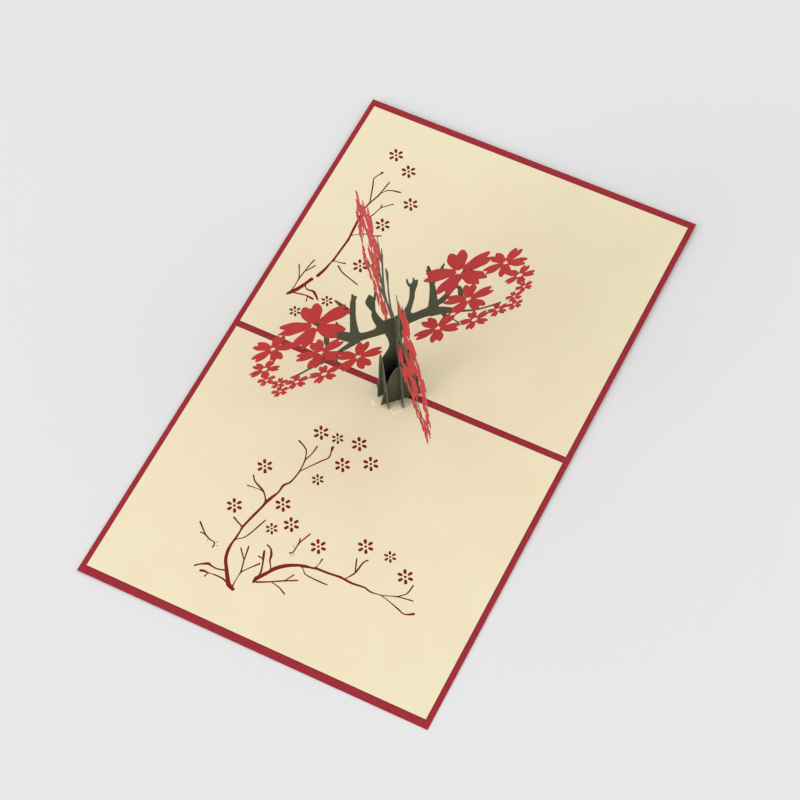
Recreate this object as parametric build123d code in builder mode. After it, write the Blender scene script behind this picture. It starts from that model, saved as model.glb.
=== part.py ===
"""A pop up card that lies open, in millimetres.

A folded cover carries two cut liners. A tree of six slotted slices stands on the liners and
straddles the fold, and four sprays of blossom are glued to its two tall slices.
X runs along the fold, Y across it towards the upper half, and Z up. The origin is the middle
of the fold, on the underside of the cover.
"""

import os
from collections import namedtuple
from math import cos, radians, sin

from build123d import *

os.makedirs("parts", exist_ok=True)

# Cover
fold_length = 180.0
page_depth = 150.0
cover_thickness = 0.35
crease_width = 0.7
crease_depth_share = 0.3

# Liners
liner_thickness = 0.3
side_margin = 2.8
far_margin = 4.0
fold_margin = 1.75
blister_margin = 0.4
blister_slope = 45

# Ornament cut out of the liners
cut_width = 2.2
flower_radius = 3.75
floret_radius = 2.9
leaf_count = 6
eye_corners = 5

# Tree slices
slice_thickness = 0.3
tree_height = 100.0
trunk_half_width = 10.4
trunk_height = 65.0
turn_a = 45
turn_b = -48
root_a_offset = 5.0
root_a_half_width = 10.4
root_a_back_half_width = 9.2
root_a_height = 29.5
root_b_offset = 7.2
root_b_half_width = 9.0
root_b_height = 35.0
slot_share = 0.5
play = 0.08
overrun = 1.0

# Glue tabs under the root slices
tab_length = 6.0
tab_width_share = 0.64

# Blossom sprays
spray_thickness = 0.25
star_limit = 8.0
petal_count = 5

liner_width = fold_length - 2 * side_margin
liner_depth = page_depth - fold_margin - far_margin
liner_top = cover_thickness + liner_thickness
blister_rise = slice_thickness + play

# Branches cut out of the lower liner: along the fold, across it, and the width of the cut
lower_branch_shares = {
    "trunk": [
        (-0.111, -0.850, 0.55), (-0.131, -0.840, 1.00), (-0.153, -0.803, 0.77), (-0.172, -0.767, 0.68),
        (-0.179, -0.733, 0.64), (-0.177, -0.647, 0.50), (-0.168, -0.600, 0.55), (-0.157, -0.540, 0.73),
        (-0.150, -0.517, 0.64), (-0.142, -0.493, 0.36), (-0.139, -0.463, 0.50), (-0.128, -0.445, 0.36),
        (-0.121, -0.397, 0.32), (-0.124, -0.353, 0.32), (-0.135, -0.321, 0.23), (-0.147, -0.311, 0.25),
        (-0.167, -0.300, 0.25),
    ],
    "tip_right": [(-0.124, -0.353, 0.27), (-0.117, -0.327, 0.20), (-0.114, -0.293, 0.23)],
    "bud_branch": [
        (-0.121, -0.397, 0.18), (-0.083, -0.333, 0.27), (-0.071, -0.313, 0.27), (-0.074, -0.291, 0.27),
        (-0.076, -0.280, 0.55), (-0.076, -0.272, 0.30),
    ],
    "left_twig": [
        (-0.157, -0.540, 0.45), (-0.179, -0.509, 0.36), (-0.214, -0.488, 0.27), (-0.225, -0.471, 0.20),
    ],
    "left_twig_low": [(-0.179, -0.509, 0.32), (-0.225, -0.513, 0.20)],
    "left_spike": [(-0.177, -0.649, 0.36), (-0.197, -0.638, 0.27), (-0.212, -0.629, 0.27)],
    "whip": [
        (-0.177, -0.696, 0.27), (-0.161, -0.681, 0.20), (-0.152, -0.662, 0.23), (-0.133, -0.595, 0.20),
    ],
    "foot_left": [
        (-0.154, -0.801, 0.36), (-0.178, -0.809, 0.27), (-0.194, -0.808, 0.32), (-0.204, -0.805, 0.59),
        (-0.222, -0.816, 0.32), (-0.236, -0.830, 0.23),
    ],
    "foot_left_low": [
        (-0.131, -0.840, 0.45), (-0.150, -0.831, 0.32), (-0.172, -0.830, 0.27), (-0.193, -0.833, 0.25),
        (-0.207, -0.833, 0.50), (-0.216, -0.837, 0.36),
    ],
    "foot_left_spur": [(-0.193, -0.833, 0.23), (-0.197, -0.849, 0.23)],
    "foot_right": [
        (-0.119, -0.843, 0.36), (-0.119, -0.787, 0.32), (-0.128, -0.747, 0.27), (-0.136, -0.697, 0.23),
    ],
    "foot_right_mid": [(-0.129, -0.745, 0.23), (-0.153, -0.713, 0.20)],
    "foot_right_out": [(-0.119, -0.787, 0.32), (-0.103, -0.760, 0.20), (-0.086, -0.735, 0.27)],
    "lying": [
        (-0.077, -0.803, 0.27), (-0.075, -0.785, 0.91), (-0.061, -0.760, 0.77), (-0.047, -0.733, 0.86),
        (-0.028, -0.711, 0.82), (-0.006, -0.695, 0.68), (0.022, -0.683, 0.64), (0.050, -0.675, 0.55),
        (0.083, -0.673, 0.45), (0.117, -0.669, 0.50), (0.150, -0.672, 0.45), (0.186, -0.668, 0.32),
        (0.203, -0.673, 0.32), (0.233, -0.669, 0.23), (0.289, -0.688, 0.27), (0.309, -0.695, 0.23),
        (0.332, -0.680, 0.41),
    ],
    "lying_tip": [(0.233, -0.669, 0.20), (0.272, -0.651, 0.27), (0.313, -0.644, 0.20)],
    "lying_tip_up": [(0.272, -0.651, 0.23), (0.289, -0.630, 0.23), (0.293, -0.595, 0.23)],
    "lying_up": [
        (0.128, -0.669, 0.27), (0.144, -0.637, 0.32), (0.150, -0.593, 0.27), (0.158, -0.579, 0.20),
    ],
    "lying_up_side": [(0.144, -0.635, 0.27), (0.129, -0.590, 0.20)],
    "lying_spike": [(0.047, -0.673, 0.27), (0.051, -0.637, 0.27)],
    "lying_whip": [(0.014, -0.689, 0.27), (0.031, -0.707, 0.20), (0.097, -0.710, 0.20)],
    "root_left": [
        (-0.074, -0.790, 0.36), (-0.073, -0.760, 0.36), (-0.091, -0.700, 0.45), (-0.094, -0.690, 0.27),
    ],
    "root_left_side": [(-0.087, -0.717, 0.25), (-0.101, -0.715, 0.23)],
    "root_left_in": [
        (-0.053, -0.741, 0.32), (-0.068, -0.713, 0.32), (-0.072, -0.695, 0.50), (-0.083, -0.675, 0.27),
        (-0.096, -0.669, 0.23),
    ],
    "root_right": [
        (-0.072, -0.797, 0.36), (-0.039, -0.777, 0.27), (-0.008, -0.755, 0.32), (0.024, -0.735, 0.20),
    ],
    "root_right_up": [(-0.007, -0.755, 0.23), (0.007, -0.723, 0.20)],
    "root_right_low": [(-0.036, -0.775, 0.23), (-0.008, -0.783, 0.20), (0.011, -0.795, 0.23)],
    "loose_left": [
        (-0.284, -0.688, 0.27), (-0.253, -0.721, 0.32), (-0.233, -0.731, 0.23), (-0.221, -0.733, 0.27),
        (-0.218, -0.752, 0.20),
    ],
    "loose_left_side": [(-0.253, -0.721, 0.20), (-0.268, -0.720, 0.20)],
    "loose_mid": [
        (-0.010, -0.577, 0.23), (-0.024, -0.620, 0.32), (-0.026, -0.657, 0.23), (-0.033, -0.665, 0.23),
    ],
    "loose_mid_side": [(-0.024, -0.620, 0.20), (-0.028, -0.605, 0.20)],
}

# Branches cut out of the upper liner
upper_branch_shares = {
    "stump": [
        (-0.411, 0.168, 0.32), (-0.402, 0.183, 0.91), (-0.392, 0.200, 0.86), (-0.381, 0.227, 0.77),
        (-0.370, 0.259, 0.64),
    ],
    "trunk": [
        (-0.363, 0.271, 0.55), (-0.354, 0.307, 0.59), (-0.347, 0.350, 0.50), (-0.344, 0.400, 0.45),
        (-0.341, 0.447, 0.50), (-0.344, 0.493, 0.55), (-0.347, 0.540, 0.45), (-0.349, 0.570, 0.27),
        (-0.344, 0.607, 0.36), (-0.333, 0.647, 0.32), (-0.326, 0.713, 0.20),
    ],
    "tip_left": [
        (-0.344, 0.609, 0.23), (-0.364, 0.680, 0.27), (-0.371, 0.703, 0.20), (-0.362, 0.727, 0.23),
        (-0.358, 0.739, 0.45),
    ],
    "tip_right": [
        (-0.332, 0.655, 0.25), (-0.317, 0.680, 0.20), (-0.288, 0.689, 0.36), (-0.281, 0.691, 0.20),
    ],
    "loose_right": [
        (-0.282, 0.638, 0.20), (-0.308, 0.607, 0.27), (-0.321, 0.561, 0.25), (-0.334, 0.560, 0.20),
    ],
    "loose_right_side": [(-0.309, 0.607, 0.20), (-0.310, 0.619, 0.20)],
    "side_twig": [
        (-0.342, 0.463, 0.27), (-0.306, 0.491, 0.20), (-0.283, 0.495, 0.25), (-0.264, 0.507, 0.20),
    ],
    "low_twig": [(-0.346, 0.350, 0.27), (-0.325, 0.353, 0.20), (-0.311, 0.358, 0.27)],
    "whip": [(-0.327, 0.340, 0.25), (-0.308, 0.323, 0.25), (-0.278, 0.311, 0.23), (-0.250, 0.300, 0.20)],
    "foot_left": [(-0.404, 0.180, 0.27), (-0.404, 0.240, 0.32), (-0.426, 0.290, 0.23)],
    "foot_left_up": [(-0.404, 0.240, 0.27), (-0.398, 0.300, 0.23), (-0.394, 0.327, 0.20)],
    "foot_left_side": [(-0.398, 0.275, 0.18), (-0.383, 0.308, 0.20)],
    "foot_right": [
        (-0.379, 0.224, 0.32), (-0.367, 0.213, 0.27), (-0.349, 0.215, 0.55), (-0.325, 0.191, 0.23),
    ],
    "foot_right_low": [
        (-0.397, 0.183, 0.36), (-0.361, 0.191, 0.23), (-0.344, 0.189, 0.45), (-0.337, 0.187, 0.27),
    ],
    "foot_right_spur": [(-0.356, 0.191, 0.20), (-0.352, 0.170, 0.20)],
}

# Flowers cut out of the liners: along the fold and across it
lower_flower_shares = [
    (-0.124, -0.245), (-0.018, -0.229), (0.036, -0.277), (-0.029, -0.319), (-0.210, -0.429),
    (-0.114, -0.524), (-0.067, -0.575), (-0.226, -0.593), (0.025, -0.606), (0.134, -0.542),
    (0.264, -0.581),
]
lower_floret_shares = [(-0.077, -0.241), (-0.067, -0.399), (-0.107, -0.614), (0.204, -0.541)]
upper_flower_shares = [
    (-0.351, 0.821), (-0.294, 0.778), (-0.239, 0.661), (-0.278, 0.547), (-0.272, 0.370),
]
upper_floret_shares = [(-0.301, 0.201), (-0.364, 0.121)]
leaf_shares = [(0.42, 0.11), (0.98, 0.14), (0.98, -0.14), (0.42, -0.11)]
eye_share = 0.16

# Flare of the trunk's right edge and its crown, out from the trunk's middle and up
flare_shares = [
    (0.104, 0.0), (0.098, 0.097), (0.088, 0.197), (0.073, 0.322), (0.054, 0.366), (0.038, 0.400),
    (0.032, 0.430), (0.034, 0.463), (0.040, 0.497),
]
crown_shares = [(0.050, 0.557), (0.030, 0.662), (-0.050, 0.649), (-0.048, 0.530)]

# Limbs of a tall slice: out from the trunk's middle, up, and half the width there
limb_shares = {
    "arm_left": [
        (0.0, 0.607, 0.050), (-0.050, 0.590, 0.056), (-0.090, 0.570, 0.033), (-0.140, 0.568, 0.029),
        (-0.185, 0.573, 0.039),
    ],
    "fork_up": [
        (-0.185, 0.573, 0.039), (-0.225, 0.602, 0.031), (-0.260, 0.639, 0.026), (-0.295, 0.682, 0.022),
        (-0.330, 0.737, 0.015), (-0.360, 0.782, 0.012), (-0.395, 0.827, 0.009), (-0.415, 0.857, 0.004),
    ],
    "fork_down": [
        (-0.180, 0.552, 0.025), (-0.225, 0.525, 0.019), (-0.270, 0.499, 0.013), (-0.310, 0.473, 0.009),
        (-0.350, 0.447, 0.007), (-0.410, 0.430, 0.006), (-0.470, 0.405, 0.006), (-0.512, 0.394, 0.005),
    ],
    "fork_down_twig": [(-0.280, 0.487, 0.008), (-0.288, 0.437, 0.006), (-0.287, 0.392, 0.005)],
    "fork_up_twig": [(-0.315, 0.697, 0.013), (-0.325, 0.637, 0.013), (-0.324, 0.582, 0.008)],
    "fork_up_thorn": [(-0.255, 0.642, 0.012), (-0.263, 0.697, 0.009), (-0.273, 0.753, 0.003)],
    "left_riser": [
        (-0.190, 0.597, 0.026), (-0.193, 0.657, 0.019), (-0.194, 0.747, 0.014), (-0.192, 0.817, 0.014),
        (-0.188, 0.877, 0.013), (-0.185, 0.907, 0.010), (-0.189, 0.940, 0.003),
    ],
    "left_riser_nub": [(-0.181, 0.892, 0.008), (-0.172, 0.918, 0.004)],
    "left_riser_twig": [
        (-0.200, 0.792, 0.010), (-0.225, 0.842, 0.011), (-0.250, 0.892, 0.008), (-0.270, 0.932, 0.003),
    ],
    "left_stem": [
        (-0.065, 0.622, 0.024), (-0.080, 0.667, 0.019), (-0.093, 0.717, 0.015), (-0.096, 0.755, 0.010),
        (-0.102, 0.792, 0.016), (-0.109, 0.842, 0.023), (-0.110, 0.867, 0.016), (-0.110, 0.895, 0.003),
    ],
    "left_stem_twig": [(-0.092, 0.837, 0.009), (-0.085, 0.877, 0.005), (-0.082, 0.910, 0.003)],
    "arm_right": [
        (0.0, 0.597, 0.050), (0.045, 0.617, 0.060), (0.092, 0.605, 0.035), (0.140, 0.614, 0.035),
        (0.185, 0.617, 0.042),
    ],
    "right_branch": [
        (0.185, 0.607, 0.038), (0.225, 0.593, 0.029), (0.260, 0.577, 0.022), (0.305, 0.550, 0.011),
        (0.343, 0.531, 0.007), (0.385, 0.516, 0.006), (0.440, 0.510, 0.005), (0.515, 0.513, 0.005),
    ],
    "right_spur": [
        (0.235, 0.577, 0.018), (0.242, 0.537, 0.008), (0.284, 0.485, 0.003), (0.310, 0.440, 0.003),
    ],
    "right_stem": [
        (0.055, 0.657, 0.026), (0.072, 0.707, 0.015), (0.086, 0.767, 0.013), (0.090, 0.817, 0.013),
        (0.096, 0.862, 0.018), (0.103, 0.890, 0.015), (0.109, 0.907, 0.009),
    ],
    "right_stem_left_twig": [(0.082, 0.872, 0.008), (0.070, 0.900, 0.005), (0.067, 0.934, 0.003)],
    "right_stem_twig": [(0.099, 0.897, 0.007), (0.098, 0.929, 0.003)],
    "right_riser": [
        (0.183, 0.627, 0.030), (0.187, 0.697, 0.021), (0.187, 0.757, 0.017), (0.185, 0.817, 0.013),
        (0.179, 0.877, 0.011), (0.174, 0.927, 0.012), (0.170, 0.962, 0.009), (0.168, 0.990, 0.004),
    ],
    "right_riser_nub": [(0.168, 0.942, 0.008), (0.159, 0.959, 0.003)],
    "right_riser_twig": [
        (0.188, 0.837, 0.010), (0.205, 0.882, 0.010), (0.226, 0.927, 0.009), (0.243, 0.972, 0.003),
    ],
    "slanting": [
        (0.190, 0.662, 0.026), (0.225, 0.675, 0.022), (0.253, 0.710, 0.016), (0.280, 0.753, 0.015),
        (0.305, 0.802, 0.013), (0.330, 0.849, 0.011), (0.350, 0.887, 0.005),
    ],
    "slanting_twig": [
        (0.290, 0.775, 0.010), (0.315, 0.737, 0.010), (0.318, 0.687, 0.011), (0.330, 0.652, 0.004),
    ],
    "slanting_end": [(0.332, 0.852, 0.006), (0.370, 0.857, 0.005), (0.408, 0.866, 0.003)],
}

# Blossoms of a spray: out from the trunk's middle, up, the radius, and the turn in degrees
left_spray_shares = [
    (-0.371, 0.781, 0.174, 95), (-0.577, 0.687, 0.107, 63), (-0.627, 0.538, 0.073, 53),
    (-0.625, 0.441, 0.045, 90), (-0.569, 0.384, 0.043, 73), (-0.570, 0.310, 0.043, 91),
    (-0.486, 0.350, 0.058, 87), (-0.353, 0.348, 0.074, 92), (-0.185, 0.411, 0.117, 73),
    (-0.359, 0.538, 0.117, 101),
]
right_spray_shares = [
    (0.314, 0.874, 0.169, 95), (0.533, 0.838, 0.107, 52), (0.603, 0.701, 0.074, 62),
    (0.627, 0.595, 0.044, 35), (0.579, 0.536, 0.043, 103), (0.582, 0.465, 0.042, 96),
    (0.499, 0.463, 0.054, 98), (0.385, 0.436, 0.076, 103), (0.205, 0.456, 0.116, 49),
    (0.355, 0.628, 0.121, 86),
]

near_spray_shift_share = -0.05

# One petal and the valley after it: out from the blossom's middle, and across the petal
petal_shares = [(0.68, -0.29), (1.0, -0.16), (0.82, 0.0), (1.0, 0.16), (0.68, 0.29), (0.22, 0.16)]
star_point_share = 0.20
star_root_share = 0.09

# Every slice: its turn about Z, how far it stands from the trunk's middle, its outline at the foot,
# and its layer, because a slice is slotted from above for the slices of a higher layer
Slice = namedtuple("Slice", "turn offset half_width height layer")
tall_a = Slice(turn_a, 0.0, trunk_half_width, trunk_height, 1)
tall_b = Slice(turn_b, 0.0, trunk_half_width, trunk_height, 2)
root_a_front = Slice(turn_a, root_a_offset, root_a_half_width, root_a_height, 1)
root_a_back = Slice(turn_a + 180, root_a_offset, root_a_back_half_width, root_a_height, 1)
root_b_left = Slice(turn_b, root_b_offset, root_b_half_width, root_b_height, 0)
root_b_right = Slice(turn_b + 180, root_b_offset, root_b_half_width, root_b_height, 0)
family_a = [tall_a, root_a_front, root_a_back]
family_b = [tall_b, root_b_left, root_b_right]


def standing(card, height=liner_top):
    """Plane of a slice: X along it, Y up, and Z out of its front face."""
    angle = radians(card.turn)
    across = (sin(angle), -cos(angle), 0)
    origin = Vector(across) * card.offset + Vector(0, 0, height)
    return Plane(origin=origin, x_dir=(cos(angle), sin(angle), 0), z_dir=across)


def lying(card, height):
    """Level plane under a slice, with X along it and Y away from its front face."""
    angle = radians(card.turn)
    return Plane(origin=(0, 0, height), x_dir=(cos(angle), sin(angle), 0), z_dir=(0, 0, 1))


def crossing(card, other):
    """Place along a slice where another one passes through it."""
    angle = radians(other.turn - card.turn)
    return (other.offset - card.offset * cos(angle)) / sin(angle)


def top_at(card, place):
    """Height of a slice's outline over its foot."""
    return card.height * (1 - (place / card.half_width) ** 2)


def slot_level(card, other):
    """Height at which the slots of two crossing slices meet."""
    lowest_top = min(top_at(card, crossing(card, other)), top_at(other, crossing(other, card)))
    return slot_share * lowest_top


def cut_slot(card, other, top):
    """Halving slot in the open sketch, from above or from below, for the slice that crosses."""
    angle = radians(other.turn - card.turn)
    width = slice_thickness * (1 + abs(cos(angle))) / abs(sin(angle)) + 2 * play
    level = slot_level(card, other)
    if card.layer < other.layer:
        low, high = level - play, top
    else:
        low, high = -overrun, level + play
    with Locations((crossing(card, other), (low + high) / 2)):
        Rectangle(width, high - low, mode=Mode.SUBTRACT)


def stroke_edges(rows):
    """Left and right edge of a stroke, from places on its centre line and half its width there."""
    left, right = [], []
    for number, (place, half_width) in enumerate(rows):
        behind = rows[max(number - 1, 0)][0]
        ahead = rows[min(number + 1, len(rows) - 1)][0]
        across = (ahead - behind).normalized().rotate(Axis.Z, 90) * half_width
        left.append(place + across)
        right.insert(0, place - across)
    return left, right


def limb(shares):
    """Limb of a tall slice in the open sketch."""
    rows = [(Vector(out, up) * tree_height, half * tree_height) for out, up, half in shares]
    left, right = stroke_edges(rows)
    Polygon(*left, *right, align=None)


def branch_cut(shares):
    """Branch cut out of the open sketch of a liner."""
    rows = [(Vector(x * fold_length, y * page_depth), width * cut_width / 2) for x, y, width in shares]
    left, right = stroke_edges(rows)
    Polygon(*left, *right, align=None, mode=Mode.SUBTRACT)


def flower_cut(shares, radius):
    """Flowers of six leaves round an eye, cut out of the open sketch of a liner."""
    places = [(x * fold_length, y * page_depth) for x, y in shares]
    leaf = [Vector(along, across) * radius for along, across in leaf_shares]
    with Locations(*places):
        RegularPolygon(radius * eye_share, eye_corners, mode=Mode.SUBTRACT)
        with PolarLocations(0, leaf_count):
            Polygon(*leaf, align=None, mode=Mode.SUBTRACT)


def tab_span(card, neighbour, tall):
    """Middle and width of the glue tab between the two slices that cross beside it."""
    low, high = sorted((crossing(card, neighbour), crossing(card, tall)))
    return (low + high) / 2, (high - low) * tab_width_share


def petal_turns(turn):
    """Direction of each petal of a blossom."""
    return [turn + number * 360 / petal_count for number in range(petal_count)]


def blossom(place, radius, turn):
    """Five notched petals in one outline, in the open sketch."""
    outline = []
    for petal_turn in petal_turns(turn):
        for along, across in petal_shares:
            outline.append((Vector(along, across) * radius).rotate(Axis.Z, petal_turn))
    with Locations(place):
        Polygon(*outline, align=None)


def eye_hole(place, radius, turn):
    """Hole in a blossom's middle: a star with its points between the petals, or a plain hole."""
    between = 180 / petal_count
    point_radius = radius * star_point_share
    with Locations(place):
        if radius < star_limit:
            RegularPolygon(point_radius, petal_count, rotation=turn + between, mode=Mode.SUBTRACT)
        else:
            star = []
            for petal_turn in petal_turns(turn):
                star.append(Vector(radius * star_root_share, 0).rotate(Axis.Z, petal_turn))
                star.append(Vector(point_radius, 0).rotate(Axis.Z, petal_turn + between))
            Polygon(*star, align=None, mode=Mode.SUBTRACT)


# The cover, one folded sheet with a scored crease along its inside
with BuildPart() as cover:
    with BuildSketch():
        Rectangle(fold_length, 2 * page_depth)
    extrude(amount=cover_thickness)
    with BuildSketch(Plane.YZ):
        with BuildLine():
            Polyline(
                (-crease_width / 2, cover_thickness),
                (0, cover_thickness * (1 - crease_depth_share)),
                (crease_width / 2, cover_thickness),
                close=True,
            )
        make_face()
    extrude(amount=fold_length / 2, both=True, mode=Mode.SUBTRACT)
cover.part.label = "cover"
export_step(cover.part, "parts/cover.step")

# The two liners, with their ornament, and a slit and a blister over each glue tab
liners = {
    "liner_lower": (
        -1, lower_branch_shares, lower_flower_shares, lower_floret_shares,
        [(root_a_front, root_b_left, tall_b), (root_b_left, root_a_front, tall_a)],
    ),
    "liner_upper": (
        1, upper_branch_shares, upper_flower_shares, upper_floret_shares,
        [(root_a_back, root_b_right, tall_b), (root_b_right, root_a_back, tall_a)],
    ),
}
for node, (side, branches, flowers, florets, tabs) in liners.items():
    with BuildPart() as liner:
        with BuildSketch(Plane.XY.offset(cover_thickness)):
            with Locations((0, side * (fold_margin + liner_depth / 2))):
                Rectangle(liner_width, liner_depth)
            for shares in branches.values():
                branch_cut(shares)
            flower_cut(flowers, flower_radius)
            flower_cut(florets, floret_radius)
        extrude(amount=liner_thickness)
        for card, neighbour, tall in tabs:
            middle, width = tab_span(card, neighbour, tall)
            blister_width = width + 2 * (play + blister_margin)
            blister_reach = tab_length + play + blister_margin
            with BuildSketch(lying(card, liner_top)):
                with Locations((middle, -card.offset - blister_reach / 2)):
                    Rectangle(blister_width, blister_reach)
            extrude(amount=blister_rise, taper=blister_slope)
            with BuildSketch(lying(card, cover_thickness)):
                with Locations((middle, -card.offset - (tab_length + play) / 2)):
                    Rectangle(width + 2 * play, tab_length + play)
            extrude(amount=blister_rise, mode=Mode.SUBTRACT)
            with BuildSketch(lying(card, cover_thickness)):
                with Locations((middle, -card.offset)):
                    Rectangle(width + 2 * play, slice_thickness + 2 * play)
            extrude(amount=liner_thickness, mode=Mode.SUBTRACT)
            with BuildSketch(lying(card, liner_top)):
                with Locations((middle, -card.offset)):
                    Rectangle(blister_width, slice_thickness + 2 * play)
            extrude(amount=blister_rise, mode=Mode.SUBTRACT)
    liner.part.label = node
    export_step(liner.part, f"parts/{node}.step")

# The two tall slices, one outline cut twice
tall_slices = {"tall_slice_a": (tall_a, family_b), "tall_slice_b": (tall_b, family_a)}
for node, (card, others) in tall_slices.items():
    with BuildPart() as tall_slice:
        with BuildSketch(standing(card)):
            flare = [Vector(out, up) * tree_height for out, up in flare_shares]
            mirrored_flare = [Vector(-point.X, point.Y) for point in reversed(flare)]
            crown = [Vector(out, up) * tree_height for out, up in crown_shares]
            with BuildLine():
                Spline(*flare)
                Polyline(flare[-1], *crown, mirrored_flare[0])
                Spline(*mirrored_flare)
                Line(mirrored_flare[-1], flare[0])
            make_face()
            for shares in limb_shares.values():
                limb(shares)
            for other in others:
                cut_slot(card, other, tree_height)
        extrude(amount=slice_thickness / 2, both=True)
    tall_slice.part.label = node
    export_step(tall_slice.part, f"parts/{node}.step")

# The four root slices, each an arch with one glue tab under the liner
root_slices = {
    "root_slice_a_front": (root_a_front, root_b_left, tall_b, family_b),
    "root_slice_a_back": (root_a_back, root_b_right, tall_b, family_b),
    "root_slice_b_left": (root_b_left, root_a_front, tall_a, family_a),
    "root_slice_b_right": (root_b_right, root_a_back, tall_a, family_a),
}
for node, (card, neighbour, tall, others) in root_slices.items():
    middle, width = tab_span(card, neighbour, tall)
    with BuildPart() as root_slice:
        with BuildSketch(standing(card)):
            with BuildLine():
                Bezier((-card.half_width, 0), (0, 2 * card.height), (card.half_width, 0))
                Line((card.half_width, 0), (-card.half_width, 0))
            make_face()
            for other in others:
                cut_slot(card, other, card.height + overrun)
            with Locations((middle, -liner_thickness / 2)):
                Rectangle(width, liner_thickness)
        extrude(amount=slice_thickness / 2, both=True)
        with BuildSketch(lying(card, cover_thickness)):
            with Locations((middle, -card.offset - tab_length / 2)):
                Rectangle(width, tab_length)
        extrude(amount=slice_thickness)
    root_slice.part.label = node
    export_step(root_slice.part, f"parts/{node}.step")

# The four sprays, each glued to the front face of a tall slice, and how far one is moved along it
sprays = {
    "spray_a_left": (tall_a, left_spray_shares, 0),
    "spray_a_right": (tall_a, right_spray_shares, 0),
    "spray_b_far": (tall_b, left_spray_shares, 0),
    "spray_b_near": (tall_b, right_spray_shares, near_spray_shift_share),
}
for node, (card, spray_shares, shift_share) in sprays.items():
    blossoms = []
    for out, up, radius, turn in spray_shares:
        place = Vector(out + shift_share, up) * tree_height
        blossoms.append((place, radius * tree_height, turn))
    with BuildPart() as spray:
        with BuildSketch(standing(card).offset(slice_thickness / 2)):
            for place, radius, turn in blossoms:
                blossom(place, radius, turn)
            for place, radius, turn in blossoms:
                eye_hole(place, radius, turn)
        extrude(amount=spray_thickness)
    spray.part.label = node
    export_step(spray.part, f"parts/{node}.step")
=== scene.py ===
"""Looks of the open pop up card: paper finishes, smooth cut outlines, studio floor, light and camera."""

import math

import bmesh
import bpy
from mathutils import Matrix, Quaternion, Vector
from mathutils.geometry import intersect_line_line_2d


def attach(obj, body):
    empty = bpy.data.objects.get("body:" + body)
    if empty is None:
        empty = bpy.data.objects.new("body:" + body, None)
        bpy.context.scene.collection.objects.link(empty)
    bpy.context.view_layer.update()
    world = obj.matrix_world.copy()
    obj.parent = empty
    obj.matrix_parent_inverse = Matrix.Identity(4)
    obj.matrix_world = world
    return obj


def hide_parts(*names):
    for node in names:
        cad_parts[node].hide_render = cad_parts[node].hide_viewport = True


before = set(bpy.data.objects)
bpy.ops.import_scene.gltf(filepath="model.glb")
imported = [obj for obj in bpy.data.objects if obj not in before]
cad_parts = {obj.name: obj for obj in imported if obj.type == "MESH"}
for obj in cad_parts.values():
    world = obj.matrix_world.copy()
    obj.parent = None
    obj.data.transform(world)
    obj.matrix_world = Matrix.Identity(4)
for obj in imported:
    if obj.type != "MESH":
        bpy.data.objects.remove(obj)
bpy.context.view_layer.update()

MM = 0.001
UP = Vector((0, 0, 1))

# Camera, as the photograph was taken
LENS = 110.66
SENSOR = 36.0
CAMERA_PLACE = Vector((293.79, -523.15, 1011.07)) * MM
CAMERA_AIM = Vector((3.09, -4.26, 0.35)) * MM
CAMERA_ROLL = math.radians(-2.96)

# Soft light low from the front left, weak light from the right above, and even light all round
KEY_PLACE = Vector((-2.0, -3.2, 1.75))
KEY_SIZE = 2.2
KEY_POWER = 62.0
FILL_PLACE = Vector((1.2, 0.3, 1.8))
FILL_SIZE = 2.0
FILL_POWER = 6.0
AMBIENT = 0.80

# Floor: half its size, how far it is below the card's middle, and its slopes along X and Y
FLOOR_HALF = 6.0
FLOOR_DROP = 1.0 * MM
FLOOR_SLOPES = (0.0028, -0.005)
FLOOR_COLOUR = (0.79, 0.79, 0.79)
FLOOR_ROUGHNESS = 0.9

# Paper colours
COVER_RED = (0.37, 0.016, 0.030)
COVER_RED_DARK = (0.29, 0.010, 0.020)
# Painted shade: darker red for the cover where it shows only through the ornament's cuts
COVER_CUT_SHADE = (0.26, 0.006, 0.012)
CREAM = (0.86, 0.755, 0.515)
CREAM_LIGHT = (0.89, 0.795, 0.555)
# Laser scorch on the liners' cut walls, made darker as painted shade in the narrow cuts
SCORCHED_AND_SHADED = (0.055, 0.022, 0.012)
OLIVE = (0.086, 0.094, 0.051)
OLIVE_DARK = (0.048, 0.056, 0.031)
# Painted highlight: lighter, greyer olive on the tree card's cut edges, where they catch the light
OLIVE_EDGE_HIGHLIGHT = (0.175, 0.170, 0.115)
BLOSSOM = (0.61, 0.029, 0.032)
BLOSSOM_DARK = (0.42, 0.015, 0.019)
BLOSSOM_EDGE = (0.50, 0.030, 0.050)
# Painted shade, near black, for the dark pocket between the root slices
POCKET_SHADE = (0.010, 0.008, 0.006)

# Grain of each paper: its fibres, the clouds in its colour, and the tooth of the cover
COVER_FIBRES = {"size": 0.9 * MM, "detail": 4, "roughness": 0.6, "stretch": (1.0, 0.35, 1.0)}
COVER_CLOUDS = {"size": 30 * MM, "detail": 2}
COVER_TOOTH = {"size": 0.35 * MM, "detail": 2}
LINER_FIBRES = {"size": 0.7 * MM, "detail": 4, "roughness": 0.55, "stretch": (0.5, 1.0, 1.0)}
LINER_CLOUDS = {"size": 22 * MM, "detail": 2}
SLICE_FIBRES = {"size": 0.8 * MM, "detail": 4, "roughness": 0.6}
SLICE_CLOUDS = {"size": 14 * MM, "detail": 2}

# Noise at which a grain starts and ends to change the colour, and the share of the change it makes
COVER_FIBRE_RANGE = (0.35, 0.75)
COVER_CLOUD_RANGE = (0.3, 0.9)
COVER_CLOUD_SHARE = 0.25
LINER_RANGE = (0.3, 0.7)
LINER_SHARE = 0.5
SLICE_FIBRE_RANGE = (0.3, 0.75)
SLICE_FIBRE_SHARE = 0.6
SLICE_CLOUD_RANGE = (0.3, 0.8)
SLICE_CLOUD_SHARE = 0.4
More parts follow.
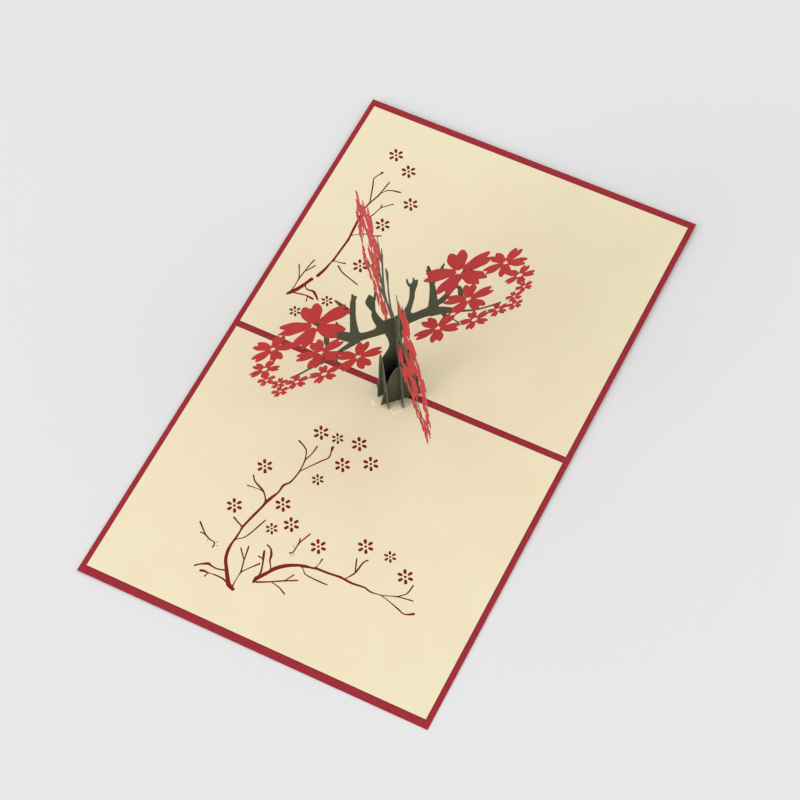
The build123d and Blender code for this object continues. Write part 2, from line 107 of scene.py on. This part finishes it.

# Roughness of each paper between its fibres, and what its fibres or the painted shade in the cuts add
COVER_ROUGHNESS = 0.62
COVER_FIBRE_ROUGHNESS = 0.2
CUT_SHADE_ROUGHNESS = 0.2
LINER_ROUGHNESS = 0.82
LINER_FIBRE_ROUGHNESS = 0.1
SLICE_ROUGHNESS = 0.6
SLICE_FIBRE_ROUGHNESS = 0.25

# Relief of each paper: its depth and its strength
COVER_RELIEF = (0.06 * MM, 0.5)
LINER_RELIEF = (0.03 * MM, 0.35)
SLICE_RELIEF = (0.05 * MM, 0.45)

# Shine of each paper
COVER_SHINE = 0.35
LINER_SHINE = 0.25
TREE_SHINE = 0.3
BLOSSOM_SHINE = 0.5

# How squarely a face looks along its sheet's axis, from 0 to 1: the card at least, a cut edge at most
SHEET_FACING = 0.99
EDGE_FACING = 0.5

# Sockets of a node that mixes colours: its share, its two colours and its result
MIX_SHARE, MIX_FIRST, MIX_SECOND, MIX_RESULT = 0, 6, 7, 2

# Painted shade between the root slices: the levels where it starts and is full, its reach and its share
POCKET_SHADE_LEVELS = (46 * MM, 29 * MM)
POCKET_SHADE_REACHES = {"a": 7.2 * MM, "b": 5.0 * MM}
POCKET_SHADE_SHARE = 0.85

# Part of the cover that shows through the ornament alone, painted darker as shade in the cuts: its reach
# along the fold and across it
CUT_SHADE_LENGTH = 80 * MM
CUT_SHADE_SPAN = (2.5 * MM, 140 * MM)

# Underside and top of the liners
LINER_LEVELS = (0.35 * MM, 0.65 * MM)

# Barbs of the two stray twigs, in millimetres: the root and the tip of each short cut
BARBS = {
    "liner_lower": [
        ((-39.15, -109.55), (-38.4, -109.1)),
        ((-38.5, -111.2), (-37.6, -110.75)),
        ((-43.15, -109.95), (-43.6, -110.6)),
        ((-4.2, -98.9), (-3.4, -99.6)),
        ((-4.95, -100.0), (-3.95, -100.45)),
        ((-5.2, -96.0), (-6.1, -95.55)),
    ],
}
BARB_HALF_WIDTH = 0.19 * MM

# Planes of the two families of slices: the turn of each about the trunk
FAMILY_TURNS = {"a": math.radians(45), "b": math.radians(-48)}
TREE_NODES = {
    "tall_slice_a": "a",
    "tall_slice_b": "b",
    "root_slice_a_front": "a",
    "root_slice_a_back": "a",
    "root_slice_b_left": "b",
    "root_slice_b_right": "b",
}
SPRAY_NODES = {"spray_a_left": "a", "spray_a_right": "a", "spray_b_near": "b", "spray_b_far": "b"}

# Edges of the outlines that are rounded: longer ones stay straight, and shorter ones get no steps
LONGEST_ROUNDED = 14.0 * MM
SHORTEST_STEPPED = 0.25 * MM
ROUNDING_STEPS = 4

# Sharpest corners that are rounded, in degrees of turn: those that stick out, and those that go in
SPRAY_TURNS = (130, 75)
SLICE_TURNS = (110, 75)
LINER_TURNS = (75, 140)

# Foot of the tree, where no corner is rounded: its level on a slice, and its reach on a liner
FOOT_LEVEL = 0.7 * MM
FOOT_REACH = 25 * MM

# Steps along an outline within which two curves are looked at for a crossing
TANGLE_REACH = 14

# What the laser burns away on each side of a cut, and the fewest corners of a gap that is no stray
KERF = 0.08 * MM
FEWEST_CORNERS = 4

# Places closer than this are one, and heights closer than this are one level
MERGE_DISTANCE = 0.0005 * MM
LEVEL_PLAY = 0.001 * MM


def look_at(place, aim, roll=0.0):
    """Turn of a camera or a light that looks from one place to another."""
    return (aim - place).to_track_quat("-Z", "Y") @ Quaternion((0, 0, 1), roll)


def make_camera():
    """Camera at the photograph's place and angle."""
    data = bpy.data.cameras.new("photo_camera")
    data.lens = LENS
    data.sensor_width = SENSOR
    camera = bpy.data.objects.new("photo_camera", data)
    camera.location = CAMERA_PLACE
    camera.rotation_mode = "QUATERNION"
    camera.rotation_quaternion = look_at(CAMERA_PLACE, CAMERA_AIM, CAMERA_ROLL)
    bpy.context.scene.collection.objects.link(camera)
    bpy.context.scene.camera = camera


def make_light(name, place, size, power):
    """Square soft light that looks at the card."""
    data = bpy.data.lights.new(name, "AREA")
    data.shape = "SQUARE"
    data.size = size
    data.energy = power
    light = bpy.data.objects.new(name, data)
    light.location = place
    light.rotation_mode = "QUATERNION"
    light.rotation_quaternion = look_at(place, Vector((0, 0, 0)))
    bpy.context.scene.collection.objects.link(light)


def make_ambient():
    """Even light from the studio's walls."""
    world = bpy.data.worlds.new("studio")
    world.use_nodes = True
    background = world.node_tree.nodes["Background"]
    background.inputs["Color"].default_value = (1, 1, 1, 1)
    background.inputs["Strength"].default_value = AMBIENT
    bpy.context.scene.world = world


class Shade:
    """A shader socket that can stand in a sum."""

    def __init__(self, finish, socket):
        self.finish = finish
        self.socket = socket

    def combined(self, operation, first, second):
        """Result of one operation on two numbers."""
        return self.finish.node("ShaderNodeMath", {"operation": operation}, {0: first, 1: second})

    def __add__(self, other):
        return self.combined("ADD", self, other)

    def __radd__(self, other):
        return self.combined("ADD", other, self)

    def __sub__(self, other):
        return self.combined("SUBTRACT", self, other)

    def __rsub__(self, other):
        return self.combined("SUBTRACT", other, self)

    def __mul__(self, other):
        return self.combined("MULTIPLY", self, other)

    def __rmul__(self, other):
        return self.combined("MULTIPLY", other, self)

    def __lt__(self, other):
        return self.combined("LESS_THAN", self, other)

    def __abs__(self):
        return self.finish.node("ShaderNodeMath", {"operation": "ABSOLUTE"}, {0: self})


class Finish:
    """A material that is being made."""

    def __init__(self, name):
        self.material = bpy.data.materials.new(name)
        self.material.use_nodes = True
        self.nodes = self.material.node_tree.nodes
        self.links = self.material.node_tree.links
        self.shader = self.nodes["Principled BSDF"]

    def node(self, kind, settings, values, output=0):
        """New node: its settings first, then the values or links of its sockets."""
        made = self.nodes.new(kind)
        for key, value in settings.items():
            setattr(made, key, value)
        for key, value in values.items():
            self.feed(made.inputs[key], value)
        return Shade(self, made.outputs[output])

    def feed(self, socket, value):
        """Value or link of one socket."""
        if isinstance(value, Shade):
            self.links.new(value.socket, socket)
        elif isinstance(value, tuple) and len(value) == 3 and socket.type == "RGBA":
            socket.default_value = (*value, 1)
        else:
            socket.default_value = value

    def place(self):
        """Place on the piece, in metres."""
        return self.node("ShaderNodeTexCoord", {}, {}, "Object")

    def along(self, axis):
        """Place on the piece along one axis, in metres."""
        return self.node("ShaderNodeSeparateXYZ", {}, {"Vector": self.place()}, axis)

    def noise(self, size, detail, roughness=0.5, stretch=None):
        """Noise with grains of a size in metres, from 0 to 1."""
        place = self.place()
        if stretch:
            place = self.node("ShaderNodeMapping", {}, {"Vector": place, "Scale": stretch})
        values = {"Vector": place, "Scale": 1 / size, "Detail": detail, "Roughness": roughness}
        return self.node("ShaderNodeTexNoise", {}, values, "Fac")

    def mix(self, share, first, second):
        """Colour between two colours."""
        settings = {"data_type": "RGBA", "clamp_factor": True}
        values = {MIX_SHARE: share, MIX_FIRST: first, MIX_SECOND: second}
        return self.node("ShaderNodeMix", settings, values, MIX_RESULT)

    def cut_edge(self, axis):
        """Cut edges of a sheet that faces along an axis: 1 there, and 0 on its two faces."""
        normal = self.node("ShaderNodeNewGeometry", {}, {}, "Normal")
        settings = {"operation": "DOT_PRODUCT"}
        facing = self.node("ShaderNodeVectorMath", settings, {0: normal, 1: axis}, "Value")
        return abs(facing) < EDGE_FACING

    def relief(self, height, depth, strength):
        """Normal of a surface with a relief of a depth in metres."""
        values = {"Height": height, "Distance": depth, "Strength": strength}
        return self.node("ShaderNodeBump", {}, values)

    def set(self, **values):
        """Sockets of the shader, with underscores for spaces."""
        for key, value in values.items():
            self.feed(self.shader.inputs[key.replace("_", " ")], value)


def spread(noise, low, high):
    """Noise stretched so that low becomes 0 and high becomes 1."""
    return (noise - low) * (1 / (high - low))


def cover_finish():
    """Dark red card with short fibres and a fine tooth, painted darker under the ornament as shade in
    its cuts.
    """
    finish = Finish("cover_card")
    fibres = finish.noise(**COVER_FIBRES)
    clouds = finish.noise(**COVER_CLOUDS)
    tooth = finish.noise(**COVER_TOOTH)
    colour = finish.mix(spread(fibres, *COVER_FIBRE_RANGE), COVER_RED, COVER_RED_DARK)
    cloudy = spread(clouds, *COVER_CLOUD_RANGE) * COVER_CLOUD_SHARE
    colour = finish.mix(cloudy, colour, COVER_RED_DARK)
    along, across = abs(finish.along("X")), abs(finish.along("Y"))
    cut_shade = (along < CUT_SHADE_LENGTH) * ((across < CUT_SHADE_SPAN[1]) - (across < CUT_SHADE_SPAN[0]))
    # Painted shade in the ornament's cuts: the cover is darker where the liners hide it
    colour = finish.mix(cut_shade, colour, COVER_CUT_SHADE)
    roughness = COVER_ROUGHNESS + fibres * COVER_FIBRE_ROUGHNESS + cut_shade * CUT_SHADE_ROUGHNESS
    finish.set(Base_Color=colour, Roughness=roughness, Specular_IOR_Level=COVER_SHINE)
    finish.set(Normal=finish.relief(tooth + fibres, *COVER_RELIEF))
    return finish.material


def liner_finish():
    """Cream matt paper, scorched where it was cut, its cut walls darkened further as painted shade."""
    finish = Finish("liner_paper")
    fibres = finish.noise(**LINER_FIBRES)
    clouds = finish.noise(**LINER_CLOUDS)
    light = spread(fibres, *LINER_RANGE) * LINER_SHARE + spread(clouds, *LINER_RANGE) * LINER_SHARE
    colour = finish.mix(light, CREAM, CREAM_LIGHT)
    # Cut walls: scorched brown, and darker still as painted shade
    colour = finish.mix(finish.cut_edge(tuple(UP)), colour, SCORCHED_AND_SHADED)
    roughness = LINER_ROUGHNESS + fibres * LINER_FIBRE_ROUGHNESS
    finish.set(Base_Color=colour, Roughness=roughness, Specular_IOR_Level=LINER_SHINE)
    finish.set(Normal=finish.relief(fibres, *LINER_RELIEF))
    return finish.material


def pocket_shade_share(finish, reach):
    """How much painted shade darkens the card between the root slices, from 0 to 1."""
    level_place = {0: finish.place(), 1: (1, 1, 0)}
    flat = finish.node("ShaderNodeVectorMath", {"operation": "MULTIPLY"}, level_place)
    near = finish.node("ShaderNodeVectorMath", {"operation": "LENGTH"}, {0: flat}, "Value") < reach
    values = {"Value": finish.along("Z"), "From Min": POCKET_SHADE_LEVELS[0], "From Max": POCKET_SHADE_LEVELS[1]}
    return finish.node("ShaderNodeMapRange", {}, values) * near * POCKET_SHADE_SHARE


def sliced_finish(name, turn, light, dark, edge, shine, pocket_shade_reach=None):
    """Card of the tree or of a spray, with another colour along its cut edges, and painted shade at the
    trunk's foot if it is given a reach.
    """
    finish = Finish(name)
    fibres = finish.noise(**SLICE_FIBRES)
    clouds = finish.noise(**SLICE_CLOUDS)
    fibrous = spread(fibres, *SLICE_FIBRE_RANGE) * SLICE_FIBRE_SHARE
    cloudy = spread(clouds, *SLICE_CLOUD_RANGE) * SLICE_CLOUD_SHARE
    colour = finish.mix(fibrous + cloudy, light, dark)
    # Colour of the cut edges; on the tree's card it is a painted highlight
    colour = finish.mix(finish.cut_edge((math.sin(turn), -math.cos(turn), 0)), colour, edge)
    # Painted shade in the pocket between the root slices, low down and near the trunk
    if pocket_shade_reach:
        colour = finish.mix(pocket_shade_share(finish, pocket_shade_reach), colour, POCKET_SHADE)
    roughness = SLICE_ROUGHNESS + fibres * SLICE_FIBRE_ROUGHNESS
    finish.set(Base_Color=colour, Roughness=roughness, Specular_IOR_Level=shine)
    finish.set(Normal=finish.relief(fibres, *SLICE_RELIEF))
    return finish.material


def outlines(solid, axis, level):
    """Closed rows of places round the face of a sheet at one level, with the card on the left."""
    card = set()
    for face in solid.faces:
        height = face.verts[0].co.dot(axis)
        if face.normal.dot(axis) > SHEET_FACING and abs(height - level) < LEVEL_PLAY:
            card.add(face)
    follow = {}
    for face in solid.faces:
        for loop in face.loops:
            if face in card and not card.issuperset(loop.edge.link_faces):
                follow[loop.vert] = loop.link_loop_next.vert
    rows = []
    while follow:
        start, corner = follow.popitem()
        row = [start.co.copy()]
        while corner is not start:
            row.append(corner.co.copy())
            corner = follow.pop(corner)
        rows.append(row)
    return rows


def rounded_here(before, here, after, turns, standing):
    """Whether the outline is smooth at one corner."""
    behind, ahead = here - before, after - here
    if max(behind.length, ahead.length) > LONGEST_ROUNDED:
        return False
    at_foot = here.y < FOOT_LEVEL if standing else here.length < FOOT_REACH
    if at_foot:
        return False
    turn = math.degrees(-behind.to_2d().angle_signed(ahead.to_2d()))
    out_limit, in_limit = turns
    return -in_limit < turn < out_limit


def drawn_row(row, pulls):
    """Row of places along the curves, and the corner after which each one comes."""
    smooth, owners = [], []
    for number, start in enumerate(row):
        end = row[(number + 1) % len(row)]
        chord = end - start
        leave = pulls[number] or chord
        arrive = pulls[(number + 1) % len(row)] or chord
        straight = leave is chord and arrive is chord
        steps = 1 if straight or chord.length < SHORTEST_STEPPED else ROUNDING_STEPS
        for step in range(steps):
            t = step / steps
            place = start * (2 * t**3 - 3 * t**2 + 1) + leave * (t**3 - 2 * t**2 + t)
            smooth.append(place + end * (3 * t**2 - 2 * t**3) + arrive * (t**3 - t**2))
            owners.append(number)
    return smooth, owners


def tangled(smooth, owners, count):
    """Corners of the curves that cross a curve nearby."""
    corners = set()
    flat = [place.to_2d() for place in smooth]
    for first in range(len(flat)):
        for gap in range(2, TANGLE_REACH):
            second = (first + gap) % len(flat)
            first_end, second_end = flat[(first + 1) % len(flat)], flat[(second + 1) % len(flat)]
            if intersect_line_line_2d(flat[first], first_end, flat[second], second_end):
                for step in (first, second):
                    corners.update((owners[step], (owners[step] + 1) % count))
    return corners


def smooth_row(row, turns, standing):
    """Row of places with curves through the corners that are rounded."""
    count = len(row)
    pulls = []
    for number, here in enumerate(row):
        before, after = row[number - 1], row[(number + 1) % count]
        pull = None
        if rounded_here(before, here, after, turns, standing):
            behind, ahead = here - before, after - here
            pull = behind.normalized() * ahead.length + ahead.normalized() * behind.length
            pull = pull.normalized() * min(behind.length, ahead.length)
        pulls.append(pull)
    smooth, owners = drawn_row(row, pulls)
    knots = tangled(smooth, owners, count) if count > TANGLE_REACH else set()
    while any(pulls[number] for number in knots):
        for number in knots:
            pulls[number] = None
        smooth, owners = drawn_row(row, pulls)
        knots = tangled(smooth, owners, count)
    return smooth


def burnt_back(row):
    """Outline of a cut in a liner, widened by what the laser burns away.

    The liner's own edge and the slits at the tree's foot stay as they are.
    """
    area = sum(row[number - 1].cross(here).z for number, here in enumerate(row))
    if area > 0 or min(here.length for here in row) < FOOT_REACH:
        return row
    moved = []
    for number, here in enumerate(row):
        behind = (here - row[number - 1]).normalized()
        ahead = (row[(number + 1) % len(row)] - here).normalized()
        moved.append(here + UP.cross(behind + ahead).normalized() * KERF)
    return moved


def barb(root, tip):
    """Outline of a short cut that tapers from its root to its tip."""
    root, tip = Vector((*root, 0)) * MM, Vector((*tip, 0)) * MM
    side = UP.cross(tip - root).normalized() * BARB_HALF_WIDTH
    return [root + side, tip + side / 2, tip - side / 2, root - side]


def cut_sheet(name, rows, thickness):
    """Level sheet with the outlines filled, in millimetres, its middle at the origin's height."""
    curve = bpy.data.curves.new(name, "CURVE")
    curve.dimensions = "2D"
    curve.fill_mode = "BOTH"
    curve.extrude = thickness / 2 / MM
    for row in rows:
        spline = curve.splines.new("POLY")
        spline.points.add(len(row) - 1)
        spline.use_cyclic_u = True
        for point, place in zip(spline.points, row):
            point.co = (place.x / MM, place.y / MM, 0, 1)
    drawn = bpy.data.objects.new(name, curve)
    mesh = bpy.data.meshes.new_from_object(drawn)
    bpy.data.objects.remove(drawn)
    bpy.data.curves.remove(curve)
    return mesh


def raised_faces(solid, level):
    """Mesh of the blisters, which rise over the level of a liner."""
    raised = solid.copy()
    limit = level + LEVEL_PLAY
    flat = [face for face in raised.faces if max(vert.co.z for vert in face.verts) < limit]
    bmesh.ops.delete(raised, geom=flat, context="FACES")
    mesh = bpy.data.meshes.new("blisters")
    raised.to_mesh(mesh)
    raised.free()
    return mesh


def sheet_rows(node, solid, plane, top, turns, lying):
    """Smooth outlines of a sheet, in its own plane, with its barbs."""
    flatten = plane.inverted()
    rows = []
    for row in outlines(solid, plane.col[2].to_3d(), top):
        if len(row) < FEWEST_CORNERS:
            continue
        flat = [flatten @ place for place in row]
        flat = [Vector((place.x, place.y, 0)) for place in flat]
        rows.append(smooth_row(burnt_back(flat) if lying else flat, turns, not lying))
    for root, tip in BARBS.get(node, ()):
        rows.append(barb(root, tip))
    return rows


def smooth_cut(node, plane, turns, material, levels=None):
    """Sheet with smooth outlines in the place of a CAD sheet with angular ones.

    A liner lies level and is given its levels. A slice or a spray stands, and its solid tells them.
    """
    axis = plane.col[2].to_3d()
    solid = bmesh.new()
    solid.from_mesh(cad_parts[node].data)
    bmesh.ops.remove_doubles(solid, verts=solid.verts, dist=MERGE_DISTANCE)
    heights = [vert.co.dot(axis) for vert in solid.verts]
    bottom, top = levels or (min(heights), max(heights))
    rows = sheet_rows(node, solid, plane, top, turns, levels is not None)
    mesh = cut_sheet(node + "_cut", rows, top - bottom)
    mesh.transform(Matrix.Translation(axis * (top + bottom) / 2) @ plane @ Matrix.Scale(MM, 4))
    joined = bmesh.new()
    joined.from_mesh(mesh)
    if levels:
        joined.from_mesh(raised_faces(solid, top))
    bmesh.ops.remove_doubles(joined, verts=joined.verts, dist=MERGE_DISTANCE)
    joined.to_mesh(mesh)
    joined.free()
    solid.free()
    for polygon in mesh.polygons:
        polygon.use_smooth = False
    piece = bpy.data.objects.new(node + "_cut", mesh)
    bpy.context.scene.collection.objects.link(piece)
    mesh.materials.clear()
    mesh.materials.append(material)
    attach(piece, "root")
    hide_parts(node)


def dress(node, material):
    """Better material on a CAD node that keeps its shape."""
    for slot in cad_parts[node].material_slots:
        slot.material = material


def make_floor():
    """Plain pale floor, tilted a little just below the card, so that the card's edges shade it."""
    grid = bmesh.new()
    bmesh.ops.create_grid(grid, x_segments=1, y_segments=1, size=FLOOR_HALF)
    for corner in grid.verts:
        corner.co.z = corner.co.xy.dot(FLOOR_SLOPES) - FLOOR_DROP
    mesh = bpy.data.meshes.new("floor")
    grid.to_mesh(mesh)
    grid.free()
    floor = bpy.data.objects.new("floor", mesh)
    bpy.context.scene.collection.objects.link(floor)
    finish = Finish("floor_paint")
    finish.set(Base_Color=FLOOR_COLOUR, Roughness=FLOOR_ROUGHNESS)
    mesh.materials.append(finish.material)


make_camera()
bpy.context.scene.view_settings.view_transform = "Standard"
make_ambient()
make_light("key_light", KEY_PLACE, KEY_SIZE, KEY_POWER)
make_light("fill_light", FILL_PLACE, FILL_SIZE, FILL_POWER)
make_floor()

dress("cover", cover_finish())
liner_plane, liner_material = Matrix.Identity(4), liner_finish()
for node in ("liner_lower", "liner_upper"):
    smooth_cut(node, liner_plane, LINER_TURNS, liner_material, LINER_LEVELS)

olive_look = (OLIVE, OLIVE_DARK, OLIVE_EDGE_HIGHLIGHT, TREE_SHINE)
blossom_look = (BLOSSOM, BLOSSOM_DARK, BLOSSOM_EDGE, BLOSSOM_SHINE)
for family, turn in FAMILY_TURNS.items():
    along = Vector((math.cos(turn), math.sin(turn), 0))
    plane = Matrix((along, UP, along.cross(UP))).transposed().to_4x4()
    tree = sliced_finish("tree_card_" + family, turn, *olive_look)
    # The tall slices' card has painted shade at the trunk's foot
    tall = sliced_finish("tall_card_" + family, turn, *olive_look, POCKET_SHADE_REACHES[family])
    blossom = sliced_finish("blossom_card_" + family, turn, *blossom_look)
    for node, node_family in TREE_NODES.items():
        if node_family == family and node.startswith("tall"):
            smooth_cut(node, plane, SLICE_TURNS, tall)
        elif node_family == family:
            dress(node, tree)
    for node, node_family in SPRAY_NODES.items():
        if node_family == family:
            smooth_cut(node, plane, SPRAY_TURNS, blossom)
